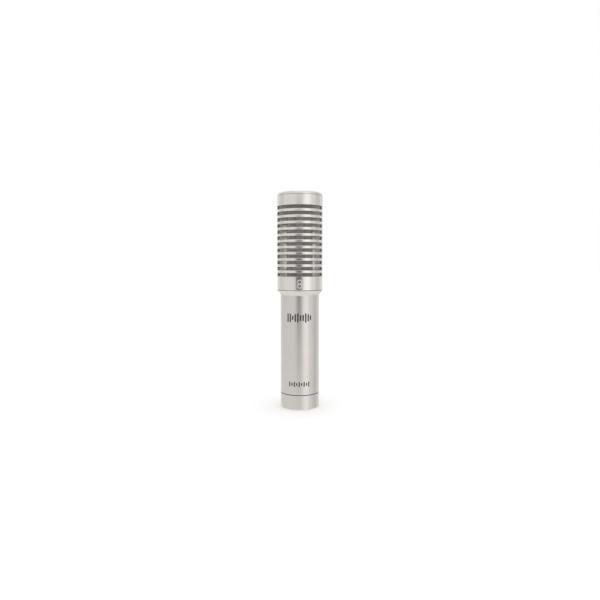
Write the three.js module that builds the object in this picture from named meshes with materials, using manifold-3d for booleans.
// A side-address ribbon microphone: a slotted metal head over a woven screen, a slim body tube, a threaded
// base ring with a three-pin connector, and inside it the ribbon motor, the output transformer and leads.
// Millimetres, +Z up. The origin is the centre of the base, and -Y is the front, where the pattern mark is.
import * as THREE from "three";
import { mergeVertices } from "three/addons/utils/BufferGeometryUtils.js";
import Module from "manifold-3d";

// ---- Driving dimensions -----------------------------------------------------------------------------------
const LENGTH = 197.6;
const HEAD_RADIUS = 21;
const BODY_RADIUS = 17.9;
const SEAM = 0.1; // between two turned parts that meet

// Heights of the joints between the outer parts
const RING_TOP = 13.5;
const TUBE_BOTTOM = 14.1;
const FLARE_BOTTOM = 104.4;
const FLARE_TOP = 108.9;
const HEAD_BOTTOM = 109.4;
const CAP_SEAT = 195;

// Head
const HEAD_WALL = 1.8;
const HEAD_BORE = HEAD_RADIUS - HEAD_WALL;
const SLOT_COUNT = 12;
const SLOT_PITCH = 5.5;
const SLOT_HEIGHT = 3.1;
const SLOT_FIRST = 121.9; // lower edge of the lowest slot
const SLOT_HALF_ANGLE = THREE.MathUtils.degToRad(79); // leaves a post on each side
const SCREEN_OUTER = HEAD_BORE - 0.1;
const SCREEN_INNER = 18.7;
const CAP_ROUND_HEIGHT = 2.4;
const CAP_ROUND_WIDTH = 1.7;
const CAP_PLATE = 4;
const SPIGOT_LENGTH = 4.7; // of the cap, down into the head tube
const SPIGOT_WALL = 1.6;
const MARK_HEIGHT = 115.2; // centre of the figure-of-eight pattern mark
const MARK_LOOP_RADIUS = 2.15;
const MARK_STROKE = 0.75;
const MARK_DEPTH = 0.25;
const HEAD_SCREW_HEIGHT = 115.9;

// Body, base ring and connector carrier
const BODY_BORE = 16.3;
const THREAD_RADIUS = 14.05;
const THREAD_CLEARANCE = 0.3;
const NOSE_RADIUS = 11.6;
const LIP_BORE = 12;
const LIP_HEIGHT = 4;
const SOCKET_BORE = 8.2;
const SOCKET_MOUTH = 1.2;
const SOCKET_FLOOR = 15;
const INSERT_RADIUS = 9.05;
const PIN_RADIUS = 1.2;
const PIN_CIRCLE = 4.4;
const PIN_TIP = 4.6;
const PIN_END = 26;
const LOCK_SCREW_Y = 6;
const LOCK_SCREW_RADIUS = 0.9;
const BOSS_RADIUS = 13;
const CARRIER_TOP = 25;
const INSERT_TOP = 21;

// Chassis
const FLANGE_TOP = 117.5;
const FLANGE_RADIUS = 18.9;
const SHOULDER_RADIUS = 18.1;
const FLANGE_PLATE = 3;
const RAIL_INNER = 13.2;
const RAIL_THICK = 1.5;
const RAIL_WIDTH = 8;
const RAIL_BOTTOM = 17.6;
const RAIL_TOP = 100.7;
const RAIL_SCREW_HEIGHTS = { bottom: 21.5, top: 98 };
const RAIL_SCREW_LENGTH = 3.6;

// Ribbon motor
const FRAME_HALF_WIDTH = 12;
const FRAME_HALF_DEPTH = 4.5;
const FRAME_BOTTOM = 121.6;
const FRAME_TOP = 184;
const WINDOW_HALF_WIDTH = 9.9;
const WINDOW_BOTTOM = 126;
const WINDOW_TOP = 180;
const MAGNET_BOTTOM = 131.3;
const MAGNET_TOP = 174.7;
const MAGNET_HALF_DEPTH = 3.5;
const GAP_HALF = 2.75; // half the gap that the ribbon hangs in
const POLE_BACK = 5.2;
const RIBBON_WIDTH = 4.8;
const RIBBON_THICK = 0.12;
const RIBBON_PITCH = 2;
const RIBBON_WAVE = 0.45;
const RIBBON_END = 0.5; // flat length at each end, just clear of the clamp
const RIBBON_CLEARANCE = 0.3; // room to move past the clamps
const BLOCK_HEIGHT = 4.8;
const BAR_HEIGHT = 3.8;
const CLAMP_SCREW_X = 4.4;
const CLAMP_SCREW_Y = -1.95;
const LEAD_HOLE_Y = -2.5;
const BASE_PLATE_BOTTOM = 119.6;
const BASE_PLATE_THICK = 1.8;
const GROMMET_Y = 10;
const GROMMET_RADIUS = 3.2;
const GROMMET_NECK = 2.1;
const GROMMET_BORE = 1.25;
const FRAME_SCREW_X = 7;

// Transformer
const CORE_BOTTOM = 60;
const CORE_TOP = 80;
const CORE_HALF_WIDTH = 12;
const CORE_HALF_DEPTH = 4;
const CORE_LEG = 4; // half the middle leg, each outer leg and each yoke
const BOBBIN_HALF_WIDTH = 7.8;
const BOBBIN_HALF_DEPTH = 8.5;
const BOBBIN_WALL = 0.7;
const BOBBIN_CLEARANCE = 0.15; // above and below it in the core's window
const STRAP_OUTER = 13;
const STRAP_SCREW_HEIGHT = 71;
const STRAP_SCREW_LENGTH = 2.4;
const LEAD_RADIUS = 0.45;

// Facets of a full turn, from the shells down to screws
const SHELL_SIDES = 36;
const TURNED_SIDES = 24;
const SMALL_SIDES = 12;
const SCREW_SIDES = 10;
const LEAD_SIDES = 6;

// Pieces that come in pairs, with the side of X that each is on
const SIDES = [["left", -1], ["right", 1]];

// ---- Materials --------------------------------------------------------------------------------------------
const metal = (color, roughness) => new THREE.MeshStandardMaterial({ color, roughness, metalness: 1 });
const dull = (color, roughness) => new THREE.MeshStandardMaterial({ color, roughness, metalness: 0 });
const MATERIALS = {
  satinNickel: metal(0xcfccc6, 0.32),
  brightNickel: metal(0xd9d6d0, 0.2),
  screenWire: metal(0x8b8982, 0.45),
  turnedAluminium: metal(0xc4c6c8, 0.35),
  zincSteel: metal(0xb9bbbd, 0.35),
  softIron: metal(0x6f7072, 0.5),
  magnet: metal(0xa8a9ab, 0.3),
  foil: metal(0xe3e5e8, 0.3),
  lamination: metal(0x4d4c4a, 0.55),
  copper: metal(0xb4633a, 0.35),
  contactSilver: metal(0xdad6c8, 0.22),
  blackPlastic: dull(0x18181a, 0.5),
  phenolic: dull(0x6b4a2a, 0.6),
  rubber: dull(0x151515, 0.85),
  nylon: dull(0x2a2a2a, 0.7),
  redWire: dull(0x9c1f1c, 0.5),
  whiteWire: dull(0xd8d6d0, 0.5),
  blueWire: dull(0x243f8f, 0.5),
  greenWire: dull(0x2c6b37, 0.5),
  blackWire: dull(0x161616, 0.5),
};

// ---- Solids: three.js shapes, joined and cut by manifold-3d -----------------------------------------------
const wasm = await Module();
wasm.setup();

function toSolid(geometry) {
  const bare = new THREE.BufferGeometry();
  bare.setAttribute("position", geometry.getAttribute("position"));
  if (geometry.index) bare.setIndex(geometry.index);
  const merged = mergeVertices(bare, 1e-4);
  return new wasm.Manifold(
    new wasm.Mesh({
      numProp: 3,
      vertProperties: new Float32Array(merged.attributes.position.array),
      triVerts: new Uint32Array(merged.index.array),
    }),
  );
}

function toGeometry(solid) {
  const mesh = solid.getMesh();
  const geometry = new THREE.BufferGeometry();
  geometry.setAttribute("position", new THREE.BufferAttribute(new Float32Array(mesh.vertProperties), 3));
  geometry.setIndex(new THREE.BufferAttribute(new Uint32Array(mesh.triVerts), 1));
  geometry.computeVertexNormals();
  return geometry;
}

function cut(geometry, ...tools) {
  return toGeometry(tools.reduce((solid, tool) => solid.subtract(toSolid(tool)), toSolid(geometry)));
}

function join(geometry, ...others) {
  return toGeometry(others.reduce((solid, other) => solid.add(toSolid(other)), toSolid(geometry)));
}

// A turned part about Z, from [radius, height] points. The outline runs anticlockwise, with radius to the
// right. A loop is closed here; an outline that starts and ends on the axis is left as it is.
function turned(outline, sides = TURNED_SIDES) {
  const onAxis = outline[0][0] === 0;
  const points = (onAxis ? outline : [...outline, outline[0]]).map(([r, z]) => new THREE.Vector2(r, z));
  return new THREE.LatheGeometry(points, sides).rotateX(Math.PI / 2);
}

// A plate: an outline in X and Y, with holes, from one height up to another.
function plate(outline, bottom, top, holes = []) {
  const shape = new THREE.Shape(outline.map(([x, y]) => new THREE.Vector2(x, y)));
  for (const [x, y, radius] of holes) {
    shape.holes.push(new THREE.Path(arc(x, y, radius, 0, 2 * Math.PI, SCREW_SIDES).slice(1)));
  }
  const slab = new THREE.ExtrudeGeometry(shape, { depth: top - bottom, bevelEnabled: false });
  return slab.translate(0, 0, bottom);
}

function box(xs, ys, zs) {
  const [x, y, z] = [xs, ys, zs].map(([low, high]) => high - low);
  const [cx, cy, cz] = [xs, ys, zs].map(([low, high]) => (high + low) / 2);
  return new THREE.BoxGeometry(x, y, z).translate(cx, cy, cz);
}

const rectangle = (halfX, halfY) => [
  [-halfX, -halfY],
  [halfX, -halfY],
  [halfX, halfY],
  [-halfX, halfY],
];

function arc(x, y, radius, from, to, steps) {
  const points = [];
  for (let i = 0; i <= steps; i++) {
    const angle = from + ((to - from) * i) / steps;
    points.push(new THREE.Vector2(x + radius * Math.cos(angle), y + radius * Math.sin(angle)));
  }
  return points;
}

// A round bar or hole along an axis, from one place on it to another.
function rod(axis, radius, [low, high], [a, b], sides = SCREW_SIDES) {
  const bar = new THREE.CylinderGeometry(radius, radius, high - low, sides);
  const middle = (high + low) / 2;
  if (axis === "x") return bar.rotateZ(Math.PI / 2).translate(middle, a, b);
  if (axis === "y") return bar.translate(a, middle, b);
  return bar.rotateX(Math.PI / 2).translate(a, b, middle);
}

// ---- Scene helpers ----------------------------------------------------------------------------------------
const microphone = new THREE.Group();

function group(parent = microphone) {
  const made = new THREE.Group();
  parent.add(made);
  return made;
}

function piece(parent, name, material, geometry) {
  const mesh = new THREE.Mesh(geometry, material);
  mesh.name = name;
  parent.add(mesh);
  return mesh;
}

// A pan-head screw whose head sits on the origin and whose shank points down -Z.
function screw({ head, height, shank, length }) {
  return turned(
    [
      [0, -length],
      [shank, -length],
      [shank, 0],
      [head, 0],
      [head, height * 0.6],
      [head * 0.7, height],
      [0, height],
    ],
    SCREW_SIDES,
  );
}

// ---- Head: cap, slotted tube, woven screen, side screws ---------------------------------------------------
function topCap() {
  const spigot = SCREEN_OUTER - 0.1;
  const plateBottom = LENGTH - CAP_PLATE;
  const spigotBottom = CAP_SEAT - SPIGOT_LENGTH;
  const crown = arc(0, 0, 1, 0, Math.PI / 2, 4).map((p) => [
    HEAD_RADIUS - CAP_ROUND_WIDTH * (1 - p.x),
    LENGTH - CAP_ROUND_HEIGHT * (1 - p.y),
  ]);
  return turned(
    [
      [0, plateBottom],
      [spigot - SPIGOT_WALL, plateBottom],
      [spigot - SPIGOT_WALL, spigotBottom],
      [spigot, spigotBottom],
      [spigot, CAP_SEAT + SEAM],
      [HEAD_RADIUS, CAP_SEAT + SEAM],
      ...crown,
      [0, LENGTH],
    ],
    SHELL_SIDES,
  );
}

// A wedge that cuts one slot through the wall, on the front (-1) or the back (+1).
function slotCutter(side, bottom) {
  const facing = (side * Math.PI) / 2;
  const from = facing - SLOT_HALF_ANGLE;
  const to = facing + SLOT_HALF_ANGLE;
  const steps = 12;
  const pastOutside = 2;
  const pastInside = 1.2;
  const outer = arc(0, 0, HEAD_RADIUS + pastOutside, from, to, steps);
  const inner = arc(0, 0, HEAD_BORE - pastInside, to, from, steps);
  const shape = new THREE.Shape([...outer, ...inner]);
  const wedge = new THREE.ExtrudeGeometry(shape, { depth: SLOT_HEIGHT, bevelEnabled: false });
  return wedge.translate(0, 0, bottom);
}

// One loop of the engraved pattern mark, as a ring standing in the front wall.
function markCutter(z) {
  const ring = new THREE.Shape(arc(0, z, MARK_LOOP_RADIUS, 0, 2 * Math.PI, SMALL_SIDES).slice(1));
  const hole = arc(0, z, MARK_LOOP_RADIUS - MARK_STROKE, 0, 2 * Math.PI, SMALL_SIDES).slice(1);
  ring.holes.push(new THREE.Path(hole));
  const depth = 3;
  const bar = new THREE.ExtrudeGeometry(ring, { depth, bevelEnabled: false });
  return bar.rotateX(Math.PI / 2).translate(0, -HEAD_RADIUS + MARK_DEPTH, 0);
}

function grilleTube() {
  const edge = 0.3;
  const seatRadius = 2.6;
  const holeRadius = 1.1;
  const tube = turned(
    [
      [HEAD_BORE, HEAD_BOTTOM],
      [HEAD_RADIUS - edge, HEAD_BOTTOM],
      [HEAD_RADIUS, HEAD_BOTTOM + edge],
      [HEAD_RADIUS, CAP_SEAT],
      [HEAD_BORE, CAP_SEAT],
    ],
    SHELL_SIDES,
  );
  const tools = [];
  for (let i = 0; i < SLOT_COUNT; i++) {
    for (const side of [-1, 1]) tools.push(slotCutter(side, SLOT_FIRST + i * SLOT_PITCH));
  }
  const loopOffset = MARK_LOOP_RADIUS - MARK_STROKE / 2;
  for (const step of [-1, 1]) tools.push(markCutter(MARK_HEIGHT + step * loopOffset));
  for (const side of [-1, 1]) {
    const seat = new THREE.CylinderGeometry(holeRadius, seatRadius, HEAD_WALL, SCREW_SIDES);
    const seatMiddle = side * (HEAD_RADIUS - HEAD_WALL / 2 + 0.1);
    tools.push(seat.rotateZ((side * Math.PI) / 2).translate(seatMiddle, 0, HEAD_SCREW_HEIGHT));
    tools.push(rod("x", holeRadius + 0.1, side < 0 ? [-22, -17] : [17, 22], [0, HEAD_SCREW_HEIGHT]));
  }
  return cut(tube, ...tools);
}

function screenSleeve() {
  const bottom = FLANGE_TOP + SEAM;
  const top = CAP_SEAT - SPIGOT_LENGTH - 0.2;
  return turned(
    [
      [SCREEN_INNER, bottom],
      [SCREEN_OUTER, bottom],
      [SCREEN_OUTER, top],
      [SCREEN_INNER, top],
    ],
    SHELL_SIDES,
  );
}

// A countersunk screw, its head flush with the head tube and its shank pointing down -Z.
function headScrew() {
  const length = 6;
  const shank = 0.9;
  const cone = 1.2;
  const head = 1.9;
  const rim = 0.15;
  return turned(
    [
      [0, -length],
      [shank, -length],
      [shank, -cone],
      [head, -rim],
      [head, 0],
      [0, 0],
    ],
    SCREW_SIDES,
  );
}

function buildHead() {
  const head = group();
  piece(head, "top_cap", MATERIALS.brightNickel, topCap());
  piece(head, "grille_tube", MATERIALS.brightNickel, grilleTube());
  piece(head, "mesh_sleeve", MATERIALS.screenWire, screenSleeve());
  const sunk = 0.35;
  for (const [name, side] of SIDES) {
    const fastener = piece(head, `head_screw_${name}`, MATERIALS.zincSteel, headScrew());
    fastener.rotation.y = (side * Math.PI) / 2;
    fastener.position.set(side * (HEAD_RADIUS - sunk), 0, HEAD_SCREW_HEIGHT);
  }
}

// ---- Body tube, base ring and its washer ------------------------------------------------------------------
// The flare is a shallow hollow curve from the body up to the head.
function flare() {
  const steps = 5;
  const hollow = 0.3;
  return Array.from({ length: steps + 1 }, (_, i) => {
    const t = i / steps;
    const radius = THREE.MathUtils.lerp(BODY_RADIUS, HEAD_RADIUS, t) - hollow * Math.sin(Math.PI * t);
    return [radius, THREE.MathUtils.lerp(FLARE_BOTTOM, FLARE_TOP, t)];
  });
}

function bodyTube() {
  const top = FLARE_TOP + 0.2;
  const seat = 106.9;
  const seatRadius = 18.4;
  const edge = 0.15;
  return turned(
    [
      [BODY_BORE, TUBE_BOTTOM],
      [BODY_RADIUS - edge, TUBE_BOTTOM],
      [BODY_RADIUS, TUBE_BOTTOM + edge],
      ...flare(),
      [HEAD_RADIUS, top],
      [seatRadius, top],
      [seatRadius, seat],
      [BODY_BORE, seat],
    ],
    SHELL_SIDES,
  );
}

function baseRing() {
  const round = 1;
  const corner = arc(BODY_RADIUS - round, round, round, -Math.PI / 2, 0, 4).map((p) => [p.x, p.y]);
  const edge = 0.15;
  return turned(
    [
      [LIP_BORE, 0.4],
      [LIP_BORE + 0.4, 0],
      ...corner,
      [BODY_RADIUS, RING_TOP - edge],
      [BODY_RADIUS - edge, RING_TOP],
      [THREAD_RADIUS + THREAD_CLEARANCE, RING_TOP],
      [THREAD_RADIUS + THREAD_CLEARANCE, LIP_HEIGHT],
      [LIP_BORE, LIP_HEIGHT],
    ],
    SHELL_SIDES,
  );
}

function ringWasher() {
  const gap = 0.05;
  const threadGap = 0.65;
  const recess = 0.6;
  const inner = THREAD_RADIUS + threadGap;
  const outer = BODY_RADIUS - recess;
  return turned(
    [
      [inner, RING_TOP + gap],
      [outer, RING_TOP + gap],
      [outer, TUBE_BOTTOM - gap],
      [inner, TUBE_BOTTOM - gap],
    ],
    SHELL_SIDES,
  );
}

function buildBody() {
  const body = group();
  piece(body, "body_tube", MATERIALS.satinNickel, bodyTube());
  piece(body, "base_ring", MATERIALS.satinNickel, baseRing());
  piece(body, "ring_washer", MATERIALS.nylon, ringWasher());
}

// ---- Three-pin output connector in its threaded carrier ---------------------------------------------------
const pinPlaces = [30, 150, 270].map((degrees) => {
  const angle = THREE.MathUtils.degToRad(degrees);
  return [PIN_CIRCLE * Math.cos(angle), PIN_CIRCLE * Math.sin(angle)];
});
function baseCarrier() {
  const mouth = 0.4;
  const threadStart = 6;
  const threadChamfer = 0.5;
  const collarRadius = BODY_BORE - 0.2;
  const collarTop = RAIL_BOTTOM - 0.3;
  const insertBore = INSERT_RADIUS + 0.1;
  const body = turned([
    [SOCKET_BORE, SOCKET_MOUTH + mouth],
    [SOCKET_BORE + mouth, SOCKET_MOUTH],
    [NOSE_RADIUS - mouth, SOCKET_MOUTH],
    [NOSE_RADIUS, SOCKET_MOUTH + mouth],
    [NOSE_RADIUS, threadStart - threadChamfer],
    [THREAD_RADIUS - threadChamfer, threadStart - threadChamfer],
    [THREAD_RADIUS, threadStart],
    [THREAD_RADIUS, TUBE_BOTTOM + SEAM],
    [collarRadius, TUBE_BOTTOM + SEAM],
    [collarRadius, collarTop],
    [BOSS_RADIUS, collarTop],
    [BOSS_RADIUS, CARRIER_TOP],
    [insertBore, CARRIER_TOP],
    [insertBore, SOCKET_FLOOR],
    [SOCKET_BORE, SOCKET_FLOOR],
  ]);
  const latchPocket = box([-2.2, 2.2], [6, SOCKET_BORE + 1.4], [4, 7.5]);
  const screwHoles = [-1, 1].map((side) =>
    rod("x", 1, side < 0 ? [-14, -10] : [10, 14], [0, RAIL_SCREW_HEIGHTS.bottom]),
  );
  return cut(body, latchPocket, ...screwHoles);
}

function connectorInsert() {
  const holes = pinPlaces.map(([x, y]) => [x, y, PIN_RADIUS + 0.1]);
  const outline = arc(0, 0, INSERT_RADIUS, 0, 2 * Math.PI, TURNED_SIDES).slice(1);
  const shape = outline.map((p) => [p.x, p.y]);
  holes.push([0, LOCK_SCREW_Y, LOCK_SCREW_RADIUS + 0.15]);
  return plate(shape, SOCKET_FLOOR + SEAM, INSERT_TOP, holes);
}

function contactPin() {
  const cup = PIN_RADIUS - 0.2;
  const cupBottom = PIN_END - 2.7;
  return turned(
    [
      [0, PIN_TIP],
      [PIN_RADIUS * 0.5, PIN_TIP + 0.15],
      [PIN_RADIUS * 0.87, PIN_TIP + 0.6],
      [PIN_RADIUS, PIN_TIP + 1.3],
      [PIN_RADIUS, cupBottom - 0.3],
      [cup, cupBottom],
      [cup, PIN_END],
      [0, PIN_END],
    ],
    SMALL_SIDES,
  );
}

function lockScrew() {
  const bottom = SOCKET_FLOOR + 0.7;
  const slotDepth = 0.5;
  const slotHalfWidth = 0.16;
  const body = rod("z", LOCK_SCREW_RADIUS, [bottom, INSERT_TOP - 0.5], [0, 0]);
  const slot = box([-1, 1], [-slotHalfWidth, slotHalfWidth], [SOCKET_FLOOR, bottom + slotDepth]);
  return cut(body, slot);
}

function buildConnector() {
  const connector = group();
  piece(connector, "connector_carrier", MATERIALS.turnedAluminium, baseCarrier());
  piece(connector, "connector_insert", MATERIALS.blackPlastic, connectorInsert());
  pinPlaces.forEach(([x, y], i) => {
    piece(connector, `contact_pin_${i + 1}`, MATERIALS.contactSilver, contactPin()).position.set(x, y, 0);
  });
  piece(connector, "insert_lock_screw", MATERIALS.zincSteel, lockScrew()).position.set(0, LOCK_SCREW_Y, 0);
}

// ---- Chassis: flange under the head and two rails down to the connector -----------------------------------
function headFlange() {
  const bottom = 95.5;
  const bossBore = 9.5;
  const hole = 4;
  const cavity = 15;
  const cavityBottom = 109;
  const funnelBottom = 104;
  const shoulder = 107.1;
  const body = turned([
    [bossBore, bottom],
    [BOSS_RADIUS, bottom],
    [BOSS_RADIUS, RAIL_TOP + 0.3],
    [BODY_BORE - 0.3, RAIL_TOP + 0.3],
    [BODY_BORE - 0.3, shoulder],
    [SHOULDER_RADIUS, shoulder],
    [SHOULDER_RADIUS, HEAD_BOTTOM - 0.1],
    [FLANGE_RADIUS, HEAD_BOTTOM - 0.1],
    [FLANGE_RADIUS, FLANGE_TOP],
    [hole, FLANGE_TOP],
    [hole, FLANGE_TOP - FLANGE_PLATE],
    [cavity, FLANGE_TOP - FLANGE_PLATE],
    [cavity, cavityBottom],
    [bossBore, funnelBottom],
  ]);
  const tools = [];
  for (const side of [-1, 1]) {
    tools.push(rod("x", 1.05, side < 0 ? [-20, -14.2] : [14.2, 20], [0, HEAD_SCREW_HEIGHT]));
    tools.push(rod("x", 1, side < 0 ? [-14, -10.2] : [10.2, 14], [0, RAIL_SCREW_HEIGHTS.top]));
    tools.push(rod("z", 1.1, [110, 120], [0, side * GROMMET_Y]));
  }
  return cut(body, ...tools);
}

function rail() {
  const outer = RAIL_INNER + RAIL_THICK;
  const bar = box([RAIL_INNER, outer], [-RAIL_WIDTH / 2, RAIL_WIDTH / 2], [RAIL_BOTTOM, RAIL_TOP]);
  const heights = [RAIL_SCREW_HEIGHTS.bottom, STRAP_SCREW_HEIGHT, RAIL_SCREW_HEIGHTS.top];
  return cut(bar, ...heights.map((z) => rod("x", 1, [RAIL_INNER - 1, outer + 1], [0, z])));
}

// A small screw that enters the chassis sideways through a rail.
function railScrew(parent, name, side, z, length) {
  const geometry = screw({ head: 1.6, height: 0.9, shank: 0.85, length });
  const made = piece(parent, name, MATERIALS.zincSteel, geometry);
  made.rotation.y = (side * Math.PI) / 2;
  made.position.set(side * (RAIL_INNER + RAIL_THICK + 0.05), 0, z);
}

function buildChassis() {
  const chassis = group();
  piece(chassis, "head_flange", MATERIALS.turnedAluminium, headFlange());
  for (const [name, side] of SIDES) {
    const bar = piece(chassis, `rail_${name}`, MATERIALS.zincSteel, rail());
    bar.rotation.z = side < 0 ? Math.PI : 0;
    for (const [end, z] of Object.entries(RAIL_SCREW_HEIGHTS)) {
      railScrew(chassis, `rail_screw_${name}_${end}`, side, z, RAIL_SCREW_LENGTH);
    }
  }
}

// ---- Ribbon motor -----------------------------------------------------------------------------------------
const clampCentres = {
  bottom: WINDOW_BOTTOM + 0.2 + BLOCK_HEIGHT / 2,
  top: WINDOW_TOP - 0.2 - BLOCK_HEIGHT / 2,
};

function motorFrame() {
  const frame = box(
    [-FRAME_HALF_WIDTH, FRAME_HALF_WIDTH],
    [-FRAME_HALF_DEPTH, FRAME_HALF_DEPTH],
    [FRAME_BOTTOM, FRAME_TOP],
  );
  const window = box([-WINDOW_HALF_WIDTH, WINDOW_HALF_WIDTH], [-6, 6], [WINDOW_BOTTOM, WINDOW_TOP]);
  const leadHoles = [
    rod("x", 1.1, [9, 13], [LEAD_HOLE_Y, clampCentres.top]),
    rod("x", 1.1, [-13, -9], [LEAD_HOLE_Y, clampCentres.bottom]),
  ];
  const screwHoles = [-1, 1].map((side) => rod("z", 1, [120, 125], [side * FRAME_SCREW_X, 0]));
  return cut(frame, window, ...leadHoles, ...screwHoles);
}

function basePlate() {
  const arm = 4.2;
  const reach = 13.4;
  const outline = [
    [-FRAME_HALF_WIDTH, -FRAME_HALF_DEPTH],
    [-arm, -FRAME_HALF_DEPTH],
    [-arm, -reach],
    [arm, -reach],
    [arm, -FRAME_HALF_DEPTH],
    [FRAME_HALF_WIDTH, -FRAME_HALF_DEPTH],
    [FRAME_HALF_WIDTH, FRAME_HALF_DEPTH],
    [arm, FRAME_HALF_DEPTH],
    [arm, reach],
    [-arm, reach],
    [-arm, FRAME_HALF_DEPTH],
    [-FRAME_HALF_WIDTH, FRAME_HALF_DEPTH],
  ];
  const grommetHole = GROMMET_NECK + 0.2;
  const screwHole = 1.1;
  const holes = [
    [0, -GROMMET_Y, grommetHole],
    [0, GROMMET_Y, grommetHole],
    [-FRAME_SCREW_X, 0, screwHole],
    [FRAME_SCREW_X, 0, screwHole],
  ];
  return plate(outline, BASE_PLATE_BOTTOM, BASE_PLATE_BOTTOM + BASE_PLATE_THICK, holes);
}

function grommet() {
  const bottom = FLANGE_TOP + SEAM;
  const plateTop = BASE_PLATE_BOTTOM + BASE_PLATE_THICK;
  return turned(
    [
      [GROMMET_BORE, bottom],
      [GROMMET_RADIUS, bottom],
      [GROMMET_RADIUS, BASE_PLATE_BOTTOM - SEAM],
      [GROMMET_NECK, BASE_PLATE_BOTTOM - SEAM],
      [GROMMET_NECK, plateTop + SEAM],
      [GROMMET_RADIUS, plateTop + SEAM],
      [GROMMET_RADIUS, plateTop + 1.5],
      [GROMMET_BORE, plateTop + 1.5],
    ],
    SMALL_SIDES,
  );
}

function magnet() {
  const xs = [POLE_BACK + SEAM, WINDOW_HALF_WIDTH - SEAM];
  return box(xs, [-MAGNET_HALF_DEPTH, MAGNET_HALF_DEPTH], [MAGNET_BOTTOM, MAGNET_TOP]);
}

// The pole narrows towards the gap, so that the field is strongest at the ribbon.
function pole() {
  const face = 2.2;
  const outline = [
    [GAP_HALF, -face],
    [POLE_BACK, -MAGNET_HALF_DEPTH],
    [POLE_BACK, MAGNET_HALF_DEPTH],
    [GAP_HALF, face],
  ];
  return plate(outline, MAGNET_BOTTOM, MAGNET_TOP);
}

// Corrugated foil: a zigzag strip with a flat end just clear of each clamp. The outline is drawn as Y along
// Z, and extruded in X.
function ribbon() {
  const low = clampCentres.bottom + BLOCK_HEIGHT / 2 + RIBBON_CLEARANCE;
  const high = clampCentres.top - BLOCK_HEIGHT / 2 - RIBBON_CLEARANCE;
  const waves = Math.floor((high - low - 2 * RIBBON_END) / RIBBON_PITCH);
  const start = (low + high - waves * RIBBON_PITCH) / 2;
  const line = [[0, low], [0, start]];
  for (let i = 0; i < 2 * waves; i++) {
    line.push([i % 2 ? -RIBBON_WAVE : RIBBON_WAVE, start + ((i + 0.5) * RIBBON_PITCH) / 2]);
  }
  line.push([0, start + waves * RIBBON_PITCH], [0, high]);
  const half = RIBBON_THICK / 2;
  const front = line.map(([y, z]) => [y - half, z]);
  const back = line.reverse().map(([y, z]) => [y + half, z]);
  const outline = [...front, ...back];
  const strip = plate(outline, -RIBBON_WIDTH / 2, RIBBON_WIDTH / 2);
  return strip.rotateX(Math.PI / 2).rotateZ(Math.PI / 2);
}

// Half of a clamp: the block behind the ribbon's tail, or the bar in front of it.
function clampHalf(halfWidth, [front, back], height, z) {
  const hole = 0.8;
  const half = box([-halfWidth, halfWidth], [front, back], [z - height / 2, z + height / 2]);
  const holes = SIDES.map(([, side]) => rod("y", hole, [front - 1, back + 1], [side * CLAMP_SCREW_X, z]));
  return cut(half, ...holes);
}

function buildClamp(motor, end) {
  const z = clampCentres[end];
  const block = clampHalf(9.6, [0.2, 4.3], BLOCK_HEIGHT, z);
  const bar = clampHalf(7.4, [-1.9, -0.2], BAR_HEIGHT, z);
  piece(motor, `ribbon_clamp_block_${end}`, MATERIALS.phenolic, block);
  piece(motor, `ribbon_clamp_bar_${end}`, MATERIALS.contactSilver, bar);
  for (const [name, side] of SIDES) {
    const geometry = screw({ head: 1.3, height: 0.9, shank: 0.65, length: 5.6 });
    const fastener = piece(motor, `ribbon_clamp_screw_${end}_${name}`, MATERIALS.zincSteel, geometry);
    fastener.rotation.x = Math.PI / 2;
    fastener.position.set(side * CLAMP_SCREW_X, CLAMP_SCREW_Y, z);
  }
}

function blastScreen(side) {
  const halfWidth = 10.5;
  const near = FRAME_HALF_DEPTH + 0.2;
  const far = near + 0.3;
  const ys = side < 0 ? [-far, -near] : [near, far];
  return box([-halfWidth, halfWidth], ys, [FRAME_BOTTOM + 2.4, FRAME_TOP - 2]);
}

function buildMotor() {
  const motor = group();
  piece(motor, "motor_frame", MATERIALS.softIron, motorFrame());
  piece(motor, "motor_base_plate", MATERIALS.zincSteel, basePlate());
  for (const [name, side] of SIDES) {
    const turn = side < 0 ? Math.PI : 0;
    piece(motor, `magnet_${name}`, MATERIALS.magnet, magnet()).rotation.z = turn;
    piece(motor, `pole_piece_${name}`, MATERIALS.softIron, pole()).rotation.z = turn;
    const geometry = screw({ head: 1.8, height: 1, shank: 0.9, length: 5.2 });
    const fastener = piece(motor, `frame_screw_${name}`, MATERIALS.zincSteel, geometry);
    fastener.rotation.x = Math.PI;
    fastener.position.set(side * FRAME_SCREW_X, 0, BASE_PLATE_BOTTOM - 0.05);
  }
  for (const [name, side] of [["front", -1], ["rear", 1]]) {
    piece(motor, `grommet_${name}`, MATERIALS.rubber, grommet()).position.y = side * GROMMET_Y;
    const geometry = screw({ head: 2.4, height: 1.4, shank: 0.95, length: 9.4 });
    const top = BASE_PLATE_BOTTOM + BASE_PLATE_THICK + 1.55;
    const fastener = piece(motor, `grommet_screw_${name}`, MATERIALS.zincSteel, geometry);
    fastener.position.set(0, side * GROMMET_Y, top);
    piece(motor, `blast_screen_${name}`, MATERIALS.screenWire, blastScreen(side));
  }
  piece(motor, "ribbon", MATERIALS.foil, ribbon());
  buildClamp(motor, "bottom");
  buildClamp(motor, "top");
}

// ---- Output transformer -----------------------------------------------------------------------------------
const windowLow = CORE_BOTTOM + CORE_LEG;
const windowHigh = CORE_TOP - CORE_LEG;

function transformerCore() {
  const ys = [-CORE_HALF_DEPTH, CORE_HALF_DEPTH];
  const stack = box([-CORE_HALF_WIDTH, CORE_HALF_WIDTH], ys, [CORE_BOTTOM, CORE_TOP]);
  const windows = [
    [-2 * CORE_LEG, -CORE_LEG],
    [CORE_LEG, 2 * CORE_LEG],
  ].map((xs) => box(xs, [-6, 6], [windowLow, windowHigh]));
  return cut(stack, ...windows);
}

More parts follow.
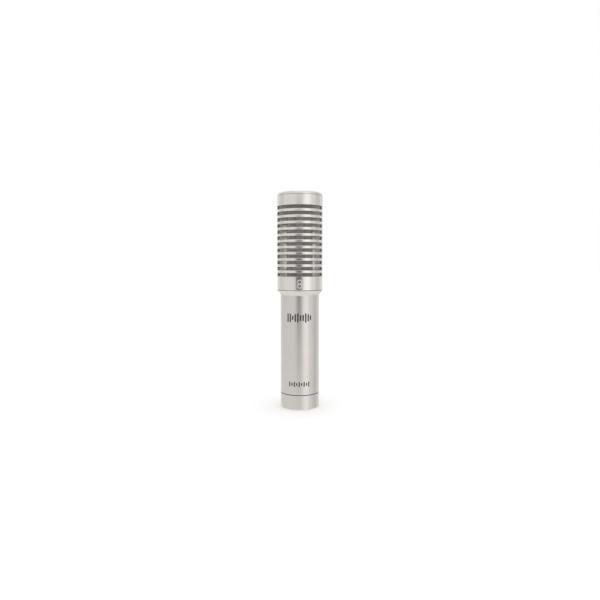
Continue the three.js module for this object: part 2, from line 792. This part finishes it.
function bobbin() {
  const inner = CORE_LEG + SEAM;
  const outer = inner + BOBBIN_WALL;
  const low = windowLow + BOBBIN_CLEARANCE;
  const high = windowHigh - BOBBIN_CLEARANCE;
  const middle = (low + high) / 2;
  const flanges = [low, middle - BOBBIN_WALL / 2, high - BOBBIN_WALL].map((z) =>
    plate(rectangle(BOBBIN_HALF_WIDTH, BOBBIN_HALF_DEPTH), z, z + BOBBIN_WALL),
  );
  const tube = plate(rectangle(outer, outer), low, high);
  const bore = plate(rectangle(inner, inner), low - 1, high + 1);
  return cut(join(tube, ...flanges), bore);
}

// One winding: a rounded ring of wire that fills a section of the bobbin.
function winding(section) {
  const margin = BOBBIN_WALL + BOBBIN_CLEARANCE + 0.1;
  const length = (windowHigh - windowLow - 2 * BOBBIN_CLEARANCE - 3 * BOBBIN_WALL) / 2 - 0.2;
  const low = section === "lower" ? windowLow + margin : windowHigh - margin - length;
  const sunk = 0.4;
  const corner = 2;
  const x = BOBBIN_HALF_WIDTH - sunk;
  const y = BOBBIN_HALF_DEPTH - sunk;
  const quarter = Math.PI / 2;
  const outline = [[1, 1], [-1, 1], [-1, -1], [1, -1]].flatMap(([sx, sy], i) => {
    const turn = arc(sx * (x - corner), sy * (y - corner), corner, i * quarter, (i + 1) * quarter, 3);
    return turn.map((p) => [p.x, p.y]);
  });
  const bore = CORE_LEG + SEAM + BOBBIN_WALL + SEAM;
  return cut(plate(outline, low, low + length), plate(rectangle(bore, bore), low - 1, low + length + 1));
}

// A steel strap over the core, open below, with its legs screwed to the rails.
function transformerStrap() {
  const [low, high] = [CORE_BOTTOM + 2, CORE_TOP + 1.2];
  const ys = [-CORE_HALF_DEPTH, CORE_HALF_DEPTH];
  const legs = CORE_HALF_WIDTH + SEAM;
  const block = box([-STRAP_OUTER, STRAP_OUTER], ys, [low, high]);
  const hollow = box([-legs, legs], [-6, 6], [low - 1, CORE_TOP + 0.2]);
  return cut(block, hollow, rod("x", 1, [-14, 14], [0, STRAP_SCREW_HEIGHT]));
}

function buildTransformer() {
  const transformer = group();
  piece(transformer, "transformer_core", MATERIALS.lamination, transformerCore());
  piece(transformer, "transformer_bobbin", MATERIALS.blackPlastic, bobbin());
  piece(transformer, "primary_winding", MATERIALS.copper, winding("lower"));
  piece(transformer, "secondary_winding", MATERIALS.copper, winding("upper"));
  piece(transformer, "transformer_strap", MATERIALS.zincSteel, transformerStrap());
  for (const [name, side] of SIDES) {
    railScrew(transformer, `strap_screw_${name}`, side, STRAP_SCREW_HEIGHT, STRAP_SCREW_LENGTH);
  }
}

// ---- Leads ------------------------------------------------------------------------------------------------
// An insulated lead along a smooth curve through its points.
function lead(points, steps) {
  const places = points.map(([x, y, z]) => new THREE.Vector3(x, y, z));
  const path = new THREE.CatmullRomCurve3(places, false, "centripetal");
  const section = new THREE.Shape(arc(0, 0, LEAD_RADIUS, 0, 2 * Math.PI, LEAD_SIDES).slice(1));
  return new THREE.ExtrudeGeometry(section, { steps, bevelEnabled: false, extrudePath: path });
}

// From a ribbon clamp out through the frame's side, down beside it, in through the flange, to the primary.
function ribbonLead(side, z) {
  const outside = FRAME_HALF_WIDTH + 2.2;
  const under = (FLANGE_TOP + BASE_PLATE_BOTTOM) / 2;
  return lead(
    [
      [side * 6.6, LEAD_HOLE_Y, z],
      [side * 9.4, LEAD_HOLE_Y, z],
      [side * (outside - 0.9), LEAD_HOLE_Y, z - 0.3],
      [side * outside, LEAD_HOLE_Y + 0.3, z - 2.5],
      [side * outside, -1, (z + FRAME_BOTTOM) / 2],
      [side * outside, side * 1.5, FRAME_BOTTOM - 0.4],
      [side * (outside - 1.4), side * 2.6, under],
      [side * 7, side * 3.2, under],
      [side * 3, side * 2.1, under - 0.3],
      [side * 1.7, side * 1, FLANGE_TOP - 2.4],
      [side * 1.5, 0, 106],
      [side * 2.2, -6.5, 88],
      [side * 2.2, -9.7, 79],
      [side * 2.2, -9.7, 71],
      [side * 2.2, -8.75, 67.2],
    ],
    42,
  );
}

// From the back of the secondary down to a contact's solder cup.
function outputLead(side, [x, y]) {
  return lead(
    [
      [side * 2.5, 8.75, 72.8],
      [side * 2.5, 9.9, 69],
      [side * 2.8, 9.9, 56],
      [(side * 2.8 + x) / 2, (8 + y) / 2, 42],
      [x, y, 32],
      [x, y, PIN_END + 0.4],
    ],
    16,
  );
}

function groundLead([x, y]) {
  return lead(
    [
      [x, y, PIN_END + 0.4],
      [x, y, PIN_END + 3],
      [x + 2.5, y + 2, PIN_END + 7],
      [x + 6, y, PIN_END + 10],
      [RAIL_INNER - 0.75, 0, PIN_END + 13],
    ],
    12,
  );
}

function buildLeads() {
  const leads = group();
  piece(leads, "ribbon_lead_top", MATERIALS.redWire, ribbonLead(1, clampCentres.top));
  piece(leads, "ribbon_lead_bottom", MATERIALS.whiteWire, ribbonLead(-1, clampCentres.bottom));
  piece(leads, "output_lead_hot", MATERIALS.blueWire, outputLead(-1, pinPlaces[1]));
  piece(leads, "output_lead_cold", MATERIALS.blackWire, outputLead(1, pinPlaces[2]));
  piece(leads, "ground_lead", MATERIALS.greenWire, groundLead(pinPlaces[0]));
}

buildHead();
buildBody();
buildConnector();
buildChassis();
buildMotor();
buildTransformer();
buildLeads();

export default microphone;
